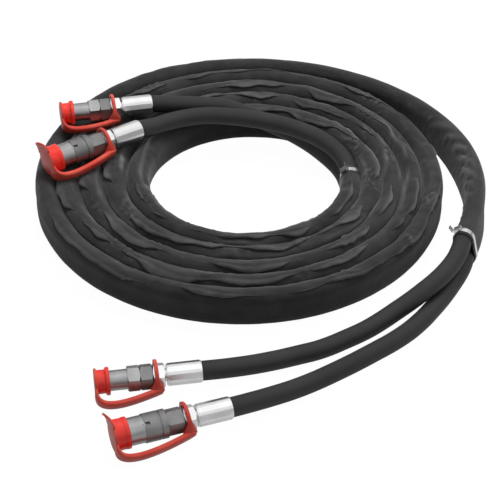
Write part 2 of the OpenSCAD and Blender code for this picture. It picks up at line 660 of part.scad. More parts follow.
lock_sleeve(rear_socket_at);  // lock_sleeve_rear
lock_spring(rear_socket_at);  // lock_spring_rear
lock_balls(rear_socket_at);  // lock_balls_rear
retaining_ring(rear_socket_at);  // retaining_ring_rear
centre_stem(rear_socket_at);  // centre_stem_rear
valve_sleeve(rear_socket_at);  // valve_sleeve_rear
valve_spring(rear_socket_at);  // valve_spring_rear
plug_cap(front_plug_at, front_plug_strap);  // plug_cap_front
plug_cap_strap(front_plug_at, front_plug_strap);  // plug_cap_strap_front
cap_ring(front_plug_at, front_plug_strap);  // plug_cap_ring_front
socket_cap(front_socket_at, front_socket_strap);  // socket_cap_front
socket_cap_strap(front_socket_at, front_socket_strap);  // socket_cap_strap_front
cap_ring(front_socket_at, front_socket_strap);  // socket_cap_ring_front
plug_cap(rear_plug_at, rear_plug_strap);  // plug_cap_rear
plug_cap_strap(rear_plug_at, rear_plug_strap);  // plug_cap_strap_rear
cap_ring(rear_plug_at, rear_plug_strap);  // plug_cap_ring_rear
socket_cap(rear_socket_at, rear_socket_strap);  // socket_cap_rear
socket_cap_strap(rear_socket_at, rear_socket_strap);  // socket_cap_strap_rear
cap_ring(rear_socket_at, rear_socket_strap);  // socket_cap_ring_rear
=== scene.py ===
import json
import math
import bpy
import bmesh
from mathutils import Vector, Matrix, noise


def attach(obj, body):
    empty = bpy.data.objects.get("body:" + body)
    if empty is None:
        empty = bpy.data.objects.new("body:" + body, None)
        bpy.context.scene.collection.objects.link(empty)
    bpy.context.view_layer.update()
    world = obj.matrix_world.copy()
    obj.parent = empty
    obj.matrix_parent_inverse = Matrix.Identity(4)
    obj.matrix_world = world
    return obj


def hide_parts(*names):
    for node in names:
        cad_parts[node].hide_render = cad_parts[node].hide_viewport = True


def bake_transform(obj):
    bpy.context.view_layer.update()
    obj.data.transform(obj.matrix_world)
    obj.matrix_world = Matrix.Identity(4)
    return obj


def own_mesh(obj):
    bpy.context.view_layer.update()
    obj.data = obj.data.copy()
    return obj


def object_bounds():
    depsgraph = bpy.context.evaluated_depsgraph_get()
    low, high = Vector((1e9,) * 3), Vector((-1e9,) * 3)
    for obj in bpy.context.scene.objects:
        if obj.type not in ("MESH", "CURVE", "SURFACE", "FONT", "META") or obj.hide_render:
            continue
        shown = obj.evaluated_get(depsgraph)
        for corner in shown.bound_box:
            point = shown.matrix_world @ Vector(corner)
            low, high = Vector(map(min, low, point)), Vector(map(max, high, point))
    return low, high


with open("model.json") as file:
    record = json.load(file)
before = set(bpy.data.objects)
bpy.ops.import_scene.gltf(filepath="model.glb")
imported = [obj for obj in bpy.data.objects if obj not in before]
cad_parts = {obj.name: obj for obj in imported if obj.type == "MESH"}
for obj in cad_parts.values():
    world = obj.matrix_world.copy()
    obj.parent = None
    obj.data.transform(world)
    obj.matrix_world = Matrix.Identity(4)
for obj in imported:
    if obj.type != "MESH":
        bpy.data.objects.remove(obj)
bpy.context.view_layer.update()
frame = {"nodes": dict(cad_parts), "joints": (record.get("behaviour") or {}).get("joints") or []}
print("frame loaded:", len(frame["nodes"]), "nodes")

mm = 0.001
coil = {
    "centre": (-17.5, 99.4), "firstRadius": 140.0, "wideStep": 8.2, "narrowStep": 6.5, "quarters": 19,
    "leadRadius": 304.0, "leadAngle": 110.0, "leadSwing": 6.0, "leadLean": -28.0, "leanAt": 74.0,
    "leanSpread": 20.0, "mouthLean": 14.0, "mouthLength": 16.0, "mouthStations": 4, "leastStations": 8,
    "lowHeight": 14.0, "halfPair": 12.15, "hoseRadius": 12.0, "sleeveRadius": 13.3, "sleeveInside": 12.35,
}
coilCentre = Vector((*coil["centre"], 0.0))

# the camera looks down on the coil from the front
camera = {"distance": 2.4, "elevation": 36.4, "lens": 128.4, "shiftY": -0.0885}
eye = math.radians(camera["elevation"])
lens = bpy.data.cameras.new("viewCamera")
lens.lens = camera["lens"]
lens.shift_y = camera["shiftY"]
viewCamera = bpy.data.objects.new("viewCamera", lens)
viewCamera.location = coilCentre * mm + camera["distance"] * Vector((0, -math.cos(eye), math.sin(eye)))
viewCamera.rotation_euler = (math.pi / 2 - eye, 0, 0)
bpy.context.scene.collection.objects.link(viewCamera)
bpy.context.scene.camera = viewCamera
bpy.context.scene.view_settings.view_transform = "Standard"
print("camera placed")


# how the pair of hoses lies, in mm from the coil's centre
def heading(degrees):
    a = math.radians(degrees)
    return Vector((math.cos(a), math.sin(a), 0))


def quarterArcs():
    # centre and radius of each quarter of the spiral, and of the lead-out after them
    arcs, centre, radius = [], Vector((0, 0, 0)), coil["firstRadius"]
    for k in range(coil["quarters"] + 1):
        arcs.append((centre, radius))
        step = coil["wideStep"] if k % 4 in (0, 3) else coil["narrowStep"]
        following = coil["leadRadius"] if k == coil["quarters"] - 1 else radius + step
        centre = centre + (radius - following) * heading(-90 * (k + 1))
        radius = following
    return arcs


def leadTwist(a):
    lean = coil["leadLean"] * math.exp(-((a - coil["leanAt"]) / coil["leanSpread"]) ** 2)
    return math.radians(lean + coil["mouthLean"] * (a / coil["leadAngle"]) ** 2)


def pairStations(spacing):
    # each station: middle of the pair, axis up the stack, axis across it, bearing
    up, stations = Vector((0, 0, 1)), []
    level = coil["lowHeight"] + coil["halfPair"]
    mouth, straight = coil["mouthLength"], coil["mouthStations"]
    for i in range(straight):
        ahead = mouth * (1 - i / straight)
        stations.append((Vector((coil["firstRadius"], ahead, level)), up, heading(0), 0.0))
    *turns, (leadCentre, leadRadius) = quarterArcs()
    for k, (centre, radius) in enumerate(turns):
        count = max(coil["leastStations"], round(radius * math.pi / 2 / spacing))
        for i in range(count):
            bearing = -90 * (k + i / count)
            stations.append((centre + radius * heading(bearing) + level * up, up, heading(bearing), bearing))
    start = -90 * coil["quarters"]
    count = round(leadRadius * math.radians(coil["leadAngle"]) / spacing)
    for i in range(count + 1):
        a = coil["leadAngle"] * i / count
        side, twist = heading(start - a), leadTwist(a)
        reach = leadRadius + coil["leadSwing"] * math.sin(math.pi * a / coil["leadAngle"]) ** 2
        height = coil["lowHeight"] + coil["halfPair"] * math.cos(twist)
        stack = -math.sin(twist) * side + math.cos(twist) * up
        across = math.cos(twist) * side + math.sin(twist) * up
        stations.append((leadCentre + reach * side + height * up, stack, across, start - a))
    middle, stack, across, bearing = stations[-1]
    onward = heading(bearing - 90)
    for i in range(1, straight + 1):
        stations.append((middle + mouth * i / straight * onward, stack, across, bearing))
    return stations


def toFrame(point):
    return (point + coilCentre) * mm


# the two hoses: beyond the sleeve their points are listed one by one, from the sleeve outwards
hoses = {
    "coverDiameter": 0.024, "spacing": 40.0, "leastGap": 9.0,
    "behindFerrule": 1.5, "crimpRadius": 10.8, "crimpDepths": (0.6, 20.0, 39.0),
    "frontPressure": [
        (272, -153, 37.8), (264.5, -171, 37.3), (253, -191, 36.8), (238.8, -209.8, 35.4),
        (221.6, -226.2, 31.7), (203.5, -239.5, 25.5), (184, -251.5, 18.5), (166, -264, 13.8),
        (148, -278, 12.3), (122, -296, 12.3), (88.6, -315.7, 12.3), (65, -325, 12.5), (20, -341, 13.5),
        (-20, -353, 16)],
    "frontReturn": [
        (278, -152, 13), (270.5, -170, 12.3), (260, -191, 12.3), (248, -213, 12.3), (234.5, -234.5, 12.3),
        (212, -266.5, 12.3), (188, -292.5, 12.3), (152, -322, 12.3), (110, -353, 12.3), (65, -382, 12.5),
        (28, -402, 14.5)],
    "rearPressure": [
        (138, 24, 39), (129, 49, 44.5), (104, 76, 52), (74, 93, 57), (36, 108, 60), (5, 115, 61.5),
        (-25, 119, 63), (-55, 120, 63.8), (-84, 114, 64), (-112, 101, 64.8), (-133, 85, 67)],
    "rearReturn": [
        (138, 24, 13.5), (131, 51, 15.5), (108, 87, 20), (73, 117, 29), (34, 134, 40), (5, 137, 51.5),
        (-25, 143, 61), (-52, 145, 64.2), (-80, 146, 64.6), (-106, 146, 65.6)],
}
couplings = {  # where each ferrule starts, its yaw and pitch, and its tether's bearing and bow
    "front_plug": ((-54, -362.7, 19.8), 189.3, 0, 65, 12),
    "front_socket": ((-19, -427.2, 20.6), 199.4, 0, 65, 12),
    "rear_plug": ((-134, 139, 70.6), 193, 1, 58, 7),
    "rear_socket": ((-147.5, 74, 71.6), 212.4, 0, 66, 12),
}


def couplingAxis(end):
    base, yaw, pitch = couplings[end][:3]
    level, rise = math.cos(math.radians(pitch)), math.sin(math.radians(pitch))
    return Vector(base), level * heading(yaw) + Vector((0, 0, rise))


def couplingMatrix(end):
    base, yaw, pitch = couplings[end][:3]
    turn = Matrix.Rotation(math.radians(yaw), 4, "Z") @ Matrix.Rotation(math.radians(90 - pitch), 4, "Y")
    return Matrix.Translation(toFrame(Vector(base))) @ turn @ Matrix.Scale(mm, 4)


def crimpedEnd(end):
    # from just behind the ferrule to the hose's end inside it, where the cover is pressed thinner
    base, axis = couplingAxis(end)
    crimp = hoses["crimpRadius"] / coil["hoseRadius"]
    pressed = [(base + axis * depth, crimp) for depth in hoses["crimpDepths"]]
    return [(base - axis * hoses["behindFerrule"], 1)] + pressed


def hoseRoute(side, rear, rearEnd, front, frontEnd):
    # points from the rear coupling to the front one, each with its share of the hose's radius
    route = crimpedEnd(rearEnd)[::-1] + [(Vector(p), 1) for p in hoses[rear][::-1]]
    for middle, stack, across, bearing in pairStations(hoses["spacing"]):
        route.append((middle + side * coil["halfPair"] * stack, 1))
    route += [(Vector(p), 1) for p in hoses[front]] + crimpedEnd(frontEnd)
    kept = [route[0]]
    for point, size in route[1:]:
        lastPoint, lastSize = kept[-1]
        if (point - lastPoint).length > hoses["leastGap"] or min(size, lastSize) < 1:
            kept.append((point, size))
    return kept


def makeHose(name, side, rear, rearEnd, front, frontEnd):
    route = hoseRoute(side, rear, rearEnd, front, frontEnd)
    shape = bpy.data.curves.new(name, "CURVE")
    shape.dimensions = "3D"
    shape.resolution_u = 6
    shape.bevel_depth = 1  # one metre, so that each point's radius is the hose's own
    shape.bevel_resolution = 8
    shape.use_fill_caps = True
    spline = shape.splines.new("BEZIER")
    spline.bezier_points.add(len(route) - 1)
    for b, (point, size) in zip(spline.bezier_points, route):
        b.co = toFrame(point)
        b.radius = size * coil["hoseRadius"] * mm
        b.handle_left_type = b.handle_right_type = "AUTO"
    points = [point for point, size in route]
    length = sum((after - before).length for before, after in zip(points, points[1:])) * mm
    hose = bpy.data.objects.new(name, shape)
    bpy.context.scene.collection.objects.link(hose)
    return hose, length, toFrame(points[0])


pressureHose, pressureLength, pressureExit = makeHose(
    "pressureHose", 1, "rearPressure", "rear_socket", "frontPressure", "front_plug")
returnHose, returnLength, returnExit = makeHose(
    "returnHose", -1, "rearReturn", "rear_plug", "frontReturn", "front_socket")
for hose, length, start, nodeName, end in (
    (pressureHose, pressureLength, pressureExit, "hose_pressure", "front_plug"),
    (returnHose, returnLength, returnExit, "hose_return", "front_socket"),
):
    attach(hose, "root")
    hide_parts(nodeName)
    print("hose made:", nodeName, round(length, 3), "m")

# the woven sleeve, gathered lengthways so that its spare cloth folds on top of each turn
sleeve = {
    "flatWidth": 0.15, "slackPerMetre": 1.04, "innerUv": 0.2,  # on the flat cloth, in m
    "ringSpacing": 3.9, "innerSpacing": 17.0,
    "outwards": 60.0,  # how far round the section a point still counts as outwards of the top
    # bearing and spread of the coil's two sides where the cloth is bunched
    "rightSide": (-5, 55), "leftSide": (180, 48),
    # where the cloth changes, from and to, in mm before the end of the sleeve
    "outerTurn": (2550, 2350), "leadOut": (1100, 900), "leadInside": (700, 420), "foldEnd": (80, 35),
    "lastMouth": (75, 25), "bunchAt": 165, "bunchSpread": 150, "foldSpread": 105,
    "firstMouth": (8, 60),  # from the start of the sleeve
    # the cloth fills half the room to the next turn, and its flanks draw in at the waist
    "halfPitch": 14.6, "pitchEase": 0.85, "fillBand": (-30, -5), "waist": 0.7, "waistWidth": 7.0,
    "deepest": 0.7,
}
flap = {
    "reach": 13.0, "thickness": 3.0, "thickFrom": 5.0, "at": 3.0, "wander": 9.0, "outerShift": 3.0,
    "lobe": 0.34, "strength": 0.85, "leftStrength": 0.2, "outerFade": 0.4, "leadFade": 0.9,
    "turnover": 3.2, "outwardBias": 0.35, "lowerLayer": 0.35, "belly": 0.5, "rootLift": 0.5,
    "rootRise": 3.0, "rootSpread": 6.5, "edgeReach": 1.02, "edgeLift": 0.62,
}
puckers = {
    "length": 18.0, "depth": 3.3, "shift": 1.6, "slant": 0.11, "sharpness": 0.7, "width": 24.0,
    "everywhere": 0.22, "right": 0.8, "left": 0.45, "leadOut": 1.5, "leadInwards": 17.0,
    "leadNarrower": 0.35, "fade": (5, 19), "patch": 0.25, "leadPatch": 0.5, "mostPatch": 1.3,
    "evenness": 0.55, "leastDepth": 0.1, "flatterOnFlap": 0.3, "crumple": 1.0, "crumpleAside": 0.3,
}
folds = {"length": 29.0, "depth": 4.6, "at": 1.5, "width": 8.5, "slant": 0.045, "sharpness": 1.3}
creases = {  # one on each side of the flap
    "behind": {"offset": -13, "height": 3.0, "bias": 0.25, "outerFade": 0.7, "least": 0.45},
    "beyond": {"offset": 14, "height": 2.2, "bias": 0.1, "outerFade": 1.0, "least": 0.35},
    "width": 2.4,
}
# painted highlight: how much paler the raised cloth is drawn on the flap, the lead-out folds, the puckers on
# top and the crease ridges, standing in for light catching them
clothHighlight = {
    "flap": 0.75, "flapReach": 5.0, "fold": 0.7, "pucker": 0.8, "creaseHeight": 3.0, "creaseWidth": 2.6,
    "evenness": 0.85,
}
drifts = {  # changes along the sleeve: (length in mm, place in the noise, seed, size) of each wave
    "lobe": [(74, 0, 1, 1.15), (31, 0, 2, 0.5)], "side": [(260, 2, 9, 0.8)],
    "wander": [(130, 3, 3, 1), (44, 5, 4, 0.4)], "ripple": [(60, 1, 5, 1.6), (23, 9, 15, 0.6)],
    "patch": [(44, 6, 13, 1.7)], "fold": [(50, 2, 19, 0.45)],
    "behindPlace": [(90, 8, 11, 6)], "behindHeight": [(60, 4, 12, 1)],
    "beyondPlace": [(70, 14, 16, 7)], "beyondHeight": [(52, 11, 17, 1)],
}
crinkles = {  # changes along it and round it: (length along, length round, seed, size) of each wave
    # the third set of waves varies the strength of the painted highlight on the raised cloth
    "bend": [(24, 9, 6, 1.9)], "depth": [(30, 11, 14, 1.5)], "paintedHighlight": [(15, 6, 18, 0.6)],
    "crumple": [(40, 20, 7, 1), (14, 7, 8, 0.6)],
}
# the flap's two layers, as shares of its reach
upperShares = [0.1, 0.3, 0.52, 0.74, 0.9, 0.98]
lowerShares = [0.97, 0.88, 0.66, 0.36, 0.1]
# the columns of cloth beside it: distance from its root, and how far they follow it
innerColumns = [
    (-30, 0.1), (-25, 0.3), (-20.5, 0.55), (-16.5, 0.8), (-13, 0.95), (-10, 1), (-7.4, 1), (-5.2, 1),
    (-3.4, 1), (-1.9, 1), (-0.8, 1)]
outerColumns = [
    (0.8, 1), (2, 1), (3.8, 1), (6, 1), (8.6, 1), (11.6, 0.9), (15, 0.72), (19, 0.45), (23.5, 0.25),
    (28, 0.1)]
plainColumns = {"first": 32.5, "step": 5.2, "count": 13}  # the rest of the way round
girth = 2 * math.pi * coil["sleeveRadius"] + 4 * coil["halfPair"]


def cloud(x, y, seed):
    return noise.noise(Vector((x, y, seed * 7.31 + 0.5)))  # seeds are far apart and off the grid


def drift(name, s):
    return sum(size * cloud(s / length, place, seed) for length, place, seed, size in drifts[name])


def crinkle(name, s, q):
    return sum(size * cloud(s / along, q / around, seed) for along, around, seed, size in crinkles[name])


def ramp(x, low, high):
    t = min(1, max(0, (x - low) / (high - low)))
    return t * t * (3 - 2 * t)


def hill(x, width):
    return math.exp(-(x / width) ** 2)


def bearingGap(bearing, centre):
    return (bearing - centre + 180) % 360 - 180


def ovalPoint(q, radius):
    # q runs round the section from its top, outwards first; returns place and direction out
    half, quarter = coil["halfPair"], coil["sleeveRadius"] * math.pi / 2
    q, mirror = q % girth, 1
    if q > girth / 2:
        q, mirror = girth - q, -1
    if q < quarter:
        a = q / coil["sleeveRadius"]
        out = (mirror * math.sin(a), math.cos(a))
        return (radius * out[0], half + radius * out[1]), out
    if q < quarter + 2 * half:
        return (mirror * radius, half - (q - quarter)), (mirror, 0)
    a = math.pi / 2 + (q - quarter - 2 * half) / coil["sleeveRadius"]
    out = (mirror * math.sin(a), math.cos(a))
    return (radius * out[0], -half + radius * out[1]), out


def clothLie(s, bearing, total):
    # how the cloth lies at one station: the flap, the puckers, the creases, and room beside the turn
    def nearing(place):
        return ramp(s, total - sleeve[place][0], total - sleeve[place][1])

    def towards(place):
        return hill(bearingGap(bearing, sleeve[place][0]), sleeve[place][1])

    right, left = towards("rightSide"), towards("leftSide")
    outerTurn, leadOut, leadInside = nearing("outerTurn"), nearing("leadOut"), nearing("leadInside")
    awayFromMouths = (1 - nearing("lastMouth")) * ramp(s, *sleeve["firstMouth"])
    toBunch = s - (total - sleeve["bunchAt"])
    strength = (flap["strength"] + flap["leftStrength"] * left) * awayFromMouths
    strength *= (1 - flap["outerFade"] * outerTurn) * (1 - flap["leadFade"] * leadOut)
    lobe = min(1, max(0, flap["lobe"] + drift("lobe", s)))
    outwards = math.sin(math.radians(-bearing)) + flap["outwardBias"] + drift("side", s)
    side = math.tanh(flap["turnover"] * outwards)
    root = flap["at"] * side + flap["wander"] * drift("wander", s) + flap["outerShift"] * outerTurn
    onTurns = puckers["everywhere"] + puckers["right"] * right + puckers["left"] * left
    onLead = puckers["leadOut"] * hill(toBunch, sleeve["bunchSpread"])
    pucker = (onTurns * (1 - leadOut) + onLead * leadOut) * awayFromMouths
    halfPitch = sleeve["halfPitch"] - sleeve["pitchEase"] * math.cos(math.radians(bearing))
    ridges = []
    for name in ("behind", "beyond"):
        crease = creases[name]
        height = crease["height"] * max(0, crease["bias"] + drift(name + "Height", s))
        height *= (1 - crease["outerFade"] * outerTurn) * min(1, pucker + crease["least"])
        ridges.append((root + crease["offset"] * side + drift(name + "Place", s), height))
    return {
        "s": s, "side": side, "root": root, "pucker": pucker, "outerTurn": outerTurn, "ridges": ridges,
        "reach": flap["reach"] * strength * lobe,
        "room": max(0, halfPitch - coil["sleeveRadius"]) * (1 - leadOut) * awayFromMouths,
        "ripple": s / puckers["length"] + drift("ripple", s),
        "patch": min(puckers["mostPatch"],
                     max(puckers["leadPatch"] * leadInside, puckers["patch"] + drift("patch", s))),
        "inwards": puckers["leadInwards"] * leadInside,
        "leadFold": leadInside * hill(toBunch, sleeve["foldSpread"]) * (1 - nearing("foldEnd")),
    }


def clothColumns(reach, side, root):
    # (distance round the section, layer lift, share of the flap) for every column over the top
    up = (1 + side) / 2
    thick = flap["thickness"] * ramp(reach, 0, flap["thickFrom"])
    low = flap["lowerLayer"] * thick

    def beside(columns, level):
        height, spread = thick * level, flap["rootSpread"]
        return [(offset + follow * root, height * hill(offset, spread), 0) for offset, follow in columns]

    def layer(shares, level):
        made = []
        for share in shares:
            lift = low + (thick - low) * level + flap["belly"] * thick * math.sin(math.pi * share) * level
            lift *= min(1, flap["rootLift"] + flap["rootRise"] * share * (1 - level) + level)
            made.append((root + side * reach * share, lift, share * level))
        return made

    edge = (root + side * reach * flap["edgeReach"], flap["edgeLift"] * thick, 1)
    folded = layer(upperShares, up) + [edge] + layer(lowerShares, 1 - up)
    plain = [(plainColumns["first"] + plainColumns["step"] * i, 0, 0) for i in range(plainColumns["count"])]
    return beside(innerColumns, up) + folded + beside(outerColumns, 1 - up) + plain


def clothPoint(lie, q, lift, share):
    # one point of the outer wall: its place in the section, and how much painted highlight it takes
    s, pucker = lie["s"], lie["pucker"]
    fromTop = (q if q < sleeve["outwards"] else q - girth) + lie["inwards"]
    onTop = hill(fromTop, puckers["width"] - puckers["leadNarrower"] * lie["inwards"])
    onTop *= 1 - ramp(fromTop, *puckers["fade"])
    phase = math.pi * lie["ripple"] + puckers["slant"] * q + crinkle("bend", s, q)
    pleat = 1 - 2 * abs(math.sin(phase)) ** puckers["sharpness"]
    depth = lie["patch"] * min(1, max(puckers["leastDepth"], puckers["evenness"] + crinkle("depth", s, q)))
    turns = s / folds["length"] + drift("fold", s) - folds["slant"] * fromTop
    fold = lie["leadFold"] * hill(fromTop - folds["at"], folds["width"])
    fold *= (0.5 + 0.5 * math.sin(2 * math.pi * turns)) ** folds["sharpness"]
    lift += puckers["depth"] * pucker * onTop * pleat * depth * (1 - puckers["flatterOnFlap"] * share)
    lift += puckers["crumple"] * crinkle("crumple", s, q) * (puckers["crumpleAside"] + onTop)
    lift += sum(height * hill(q - at, creases["width"]) for at, height in lie["ridges"])
    lift += folds["depth"] * fold
    q += puckers["shift"] * pucker * share * pleat * lie["patch"]
    (x, y), (nx, ny) = ovalPoint(q, coil["sleeveRadius"])
    if ny == 0:
        lift -= sleeve["waist"] * hill(y, sleeve["waistWidth"])
    spare = lie["room"] if x < 0 else lie["room"] * (1 - lie["outerTurn"])
    lift = max(lift, -sleeve["deepest"]) + spare * nx * nx * ramp(y, *sleeve["fillBand"])
    # painted highlight: the flap's folded layers, the folds, the raised puckers on top and the crease ridges
    # are made paler where light would catch them
    paintedHighlight = clothHighlight["flap"] * share * min(1, lie["reach"] / clothHighlight["flapReach"])
    paintedHighlight += clothHighlight["fold"] * fold + clothHighlight["pucker"] * pucker * onTop * depth * max(0, pleat)
    for at, height in lie["ridges"]:
        paintedHighlight += height * hill(q - at, clothHighlight["creaseWidth"]) / clothHighlight["creaseHeight"]
    paintedHighlight *= clothHighlight["evenness"] + crinkle("paintedHighlight", s, q)
    return x + nx * lift, y + ny * lift, min(1, max(0, paintedHighlight))


def makeSleeve():
    stations = pairStations(sleeve["ringSpacing"])
    lengths = [0.0]
    for a, b in zip(stations, stations[1:]):
        lengths.append(lengths[-1] + (b[0] - a[0]).length)
    total = lengths[-1]
    # the rows run along the outer wall, back along the inner one and close on the first
    inside = list(range(len(stations) - 1, 0, -round(sleeve["innerSpacing"] / sleeve["ringSpacing"]))) + [0]
    rows = [(i, True) for i in range(len(stations))] + [(i, False) for i in inside] + [(0, True)]
    columns = len(clothColumns(0, 1, 0))

    bm = bmesh.new()
    bmesh.ops.create_grid(bm, x_segments=len(rows) - 1, y_segments=columns, size=1)
    uvLayer = bm.loops.layers.uv.new("cloth")
    # a mesh attribute that carries the painted highlight to the cloth's colour
    paintedHighlightLayer = bm.verts.layers.float.new("paintedHighlight")
    grid, flat = {}, {}
    for v in bm.verts:
        grid[(round((v.co.x + 1) / 2 * (len(rows) - 1)), round((v.co.y + 1) / 2 * columns))] = v
    for r, (i, outer) in enumerate(rows):
        middle, stack, across, bearing = stations[i]
        lie = clothLie(lengths[i], bearing, total)
        along, uvStart = lengths[i] * mm, 0 if outer else sleeve["innerUv"]
        for c, (q, lift, share) in enumerate(clothColumns(lie["reach"], lie["side"], lie["root"])):
            v = grid[(r, c)]
            if outer:
                x, y, v[paintedHighlightLayer] = clothPoint(lie, q, lift, share)
            else:
                (x, y), out = ovalPoint(q, coil["sleeveInside"])
            v.co = toFrame(middle + x * across + y * stack)
            flat[v] = (along, c / columns * girth * mm + uvStart)
        first, last = grid[(r, 0)], grid[(r, columns)]  # the seam, merged below
        last.co, last[paintedHighlightLayer] = first.co, first[paintedHighlightLayer]
        flat[last] = (along, girth * mm + uvStart)
    for face in bm.faces:
        for loop in face.loops:
            loop[uvLayer].uv = flat[loop.vert]
    bmesh.ops.remove_doubles(bm, verts=bm.verts, dist=1e-6)
    bmesh.ops.recalc_face_normals(bm, faces=bm.faces)
    for face in bm.faces:
        face.smooth = True
    mesh = bpy.data.meshes.new("wovenSleeve")
    bm.to_mesh(mesh)
    bm.free()
    cloth = bpy.data.objects.new("wovenSleeve", mesh)
    bpy.context.scene.collection.objects.link(cloth)
    return cloth, total * mm


wovenSleeve, sleeveLength = makeSleeve()
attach(wovenSleeve, "root")
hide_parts("protective_sleeve")
print("sleeve made:", round(sleeveLength, 3), "m,", len(wovenSleeve.data.polygons), "faces")


# soft red dust caps, each a cup with an end plate, tied by a strap to a ring on the swivel nut
caps = {
    "plug": {"noseRadius": 12.3, "cupRadius": 14.25, "mouth": 110.0, "face": 122.0, "end": 128.0,
             "collar": 2.6, "plateRadius": 16.6, "pullTab": None},
    "socket": {"noseRadius": 16.35, "cupRadius": 18.3, "mouth": 124.0, "face": 137.0, "end": 143.0,
               "collar": 0.5, "plateRadius": 19.6, "pullTab": 29.3},
    "plateThickness": 3.0, "draft": 0.2, "collarHeight": 4.6, "collarSlope": 0.8, "faceGap": 1.0,
    "round": 0.9, "colourEdge": 0.2,  # how far under the plate its colour goes
}
pullTab = {
    "steps": 12, "inPlate": 7.0, "bend": 50.0, "halfThickness": 1.6, "thinning": 0.35, "rootShare": 0.92,
    "tipHalf": 4.5, "narrowing": 1.6, "edge": 0.7,
}
strap = {
    "width": 13.5, "thickness": 7.6, "inRing": 2.4, "steps": 36, "sectionPoints": 16,
    "stub": 5.5, "stubSink": 0.6, "stubNarrow": 0.35, "narrowTo": 3.0, "stubThin": 0.3, "thinTo": 4.0,
    "sideFullness": 0.55, "backFullness": 0.7, "sharpFrom": 50,
    "leaveOut": 6.0, "leaveAlong": 22.0, "overPlate": 4.0, "inPlate": 3.0,
    "plateFlare": 11.0, "flareLength": 13.0, "flareThin": 0.42, "blendFrom": 62.0, "blendShort": 4.0,
}
ring = {
    "from": 52.0, "to": 57.0, "inside": 15.7, "outside": 19.1, "steps": 64, "edgeIn": 0.8,
    "edgeAlong": 0.7, "narrow": 0.86, "flare": 6.0, "gusset": 3.6, "gussetSpread": 48, "crown": 0.6,
    "knob": 1.8, "knobSpread": 17,
}


def finishPiece(bm, name, end, sharp=35):
    bmesh.ops.recalc_face_normals(bm, faces=bm.faces)
    bmesh.ops.transform(bm, matrix=couplingMatrix(end), verts=bm.verts)
    for face in bm.faces:
        face.smooth = True
    mesh = bpy.data.meshes.new(name)
    bm.to_mesh(mesh)
    bm.free()
    mesh.set_sharp_from_angle(angle=math.radians(sharp))
    piece = bpy.data.objects.new(name, mesh)
    bpy.context.scene.collection.objects.link(piece)
    return piece


def spinProfile(bm, profile, steps=72):
    # profile is a list of (radius, height) turned about the coupling's axis
    verts = [bm.verts.new((r, 0, z)) for r, z in profile]
    edges = [bm.edges.new(pair) for pair in zip(verts, verts[1:])]
    if profile[0][0] > 0:
        edges.append(bm.edges.new((verts[-1], verts[0])))
    bmesh.ops.spin(bm, geom=verts + edges, cent=(0, 0, 0), axis=(0, 0, 1), dvec=(0, 0, 0), angle=2 * math.pi,
                   steps=steps, use_merge=True, use_duplicate=False)
    bmesh.ops.remove_doubles(bm, verts=bm.verts, dist=0.001)


def roundedProfile(points, radius):
    # each corner between the two ends is turned with three points, where there is room
    made = [points[0]]
    for before, point, after in zip(points, points[1:], points[2:]):
        p, back, onward = Vector(point), Vector(before) - Vector(point), Vector(after) - Vector(point)
        cut = min(radius, 0.45 * back.length, 0.45 * onward.length)  # so that two corners never meet
        a, b = p + back.normalized() * cut, p + onward.normalized() * cut
        made += [tuple(a), tuple((a + b) / 4 + p / 2), tuple(b)]
    return made + [points[-1]]


def sweepSections(bm, sections):
    # closed solid through a list of rings of points, grown ring by ring
    face = bm.faces.new([bm.verts.new(q) for q in sections[0]])
    started = face
    for section in sections[1:]:
        grown = bmesh.ops.extrude_face_region(bm, geom=[face])
        newFace = [g for g in grown["geom"] if isinstance(g, bmesh.types.BMFace)][0]
        for v, q in zip(newFace.verts, section):
            v.co = q
        if face.is_valid and face is not started:
            bm.faces.remove(face)
        face = newFace


def addPullTab(bm, cap, bearing):
    # the tab leaves the plate and bends outwards, narrowing to its tip
    turn = Matrix.Rotation(math.radians(180 + bearing / 2), 3, "Z")
    root = cap["plateRadius"] - pullTab["inPlate"]
    angle = math.radians(pullTab["bend"])
    radius = (cap["pullTab"] - root) / angle
    sections = []
    for i in range(pullTab["steps"] + 1):
        share = i / pullTab["steps"]
        bend, narrowed = angle * share, share ** pullTab["narrowing"]
        x = root + radius * math.sin(bend)
        z = cap["end"] - pullTab["halfThickness"] + radius * (1 - math.cos(bend))
        w = cap["plateRadius"] * pullTab["rootShare"] * (1 - narrowed) + pullTab["tipHalf"] * narrowed
        t = pullTab["halfThickness"] - pullTab["thinning"] * share
        flatHalf = w - pullTab["edge"]
        out = Vector((-math.sin(bend), 0, math.cos(bend)))
        section = [(w, 0), (flatHalf, t), (-flatHalf, t), (-w, 0), (-flatHalf, -t), (flatHalf, -t)]
        sections.append([turn @ (Vector((x, y, z)) + k * out) for y, k in section])
    sweepSections(bm, sections)


def makeCup(name, kind, end, bearing):
    cap = caps[kind]
    plateFrom = cap["end"] - caps["plateThickness"]
    cup, lip = cap["cupRadius"], cap["cupRadius"] + cap["collar"]
    collarTo = cap["mouth"] + caps["collarHeight"]
    hollowTo = cap["face"] + caps["faceGap"]
    profile = [
        (0, cap["end"]), (cap["plateRadius"], cap["end"]), (cap["plateRadius"], plateFrom),
        (cup + caps["draft"], plateFrom), (cup, collarTo + caps["collarSlope"]), (lip, collarTo),
        (lip, cap["mouth"]), (cap["noseRadius"], cap["mouth"]), (cap["noseRadius"], hollowTo), (0, hollowTo)]
    bm = bmesh.new()
    spinProfile(bm, roundedProfile(profile, caps["round"]))
    if cap["pullTab"]:
        addPullTab(bm, cap, bearing)
    for face in bm.faces:  # the plate and the tab take the second material
        face.material_index = 1 if face.calc_center_median().z > plateFrom - caps["colourEdge"] else 0
    return finishPiece(bm, name, end)


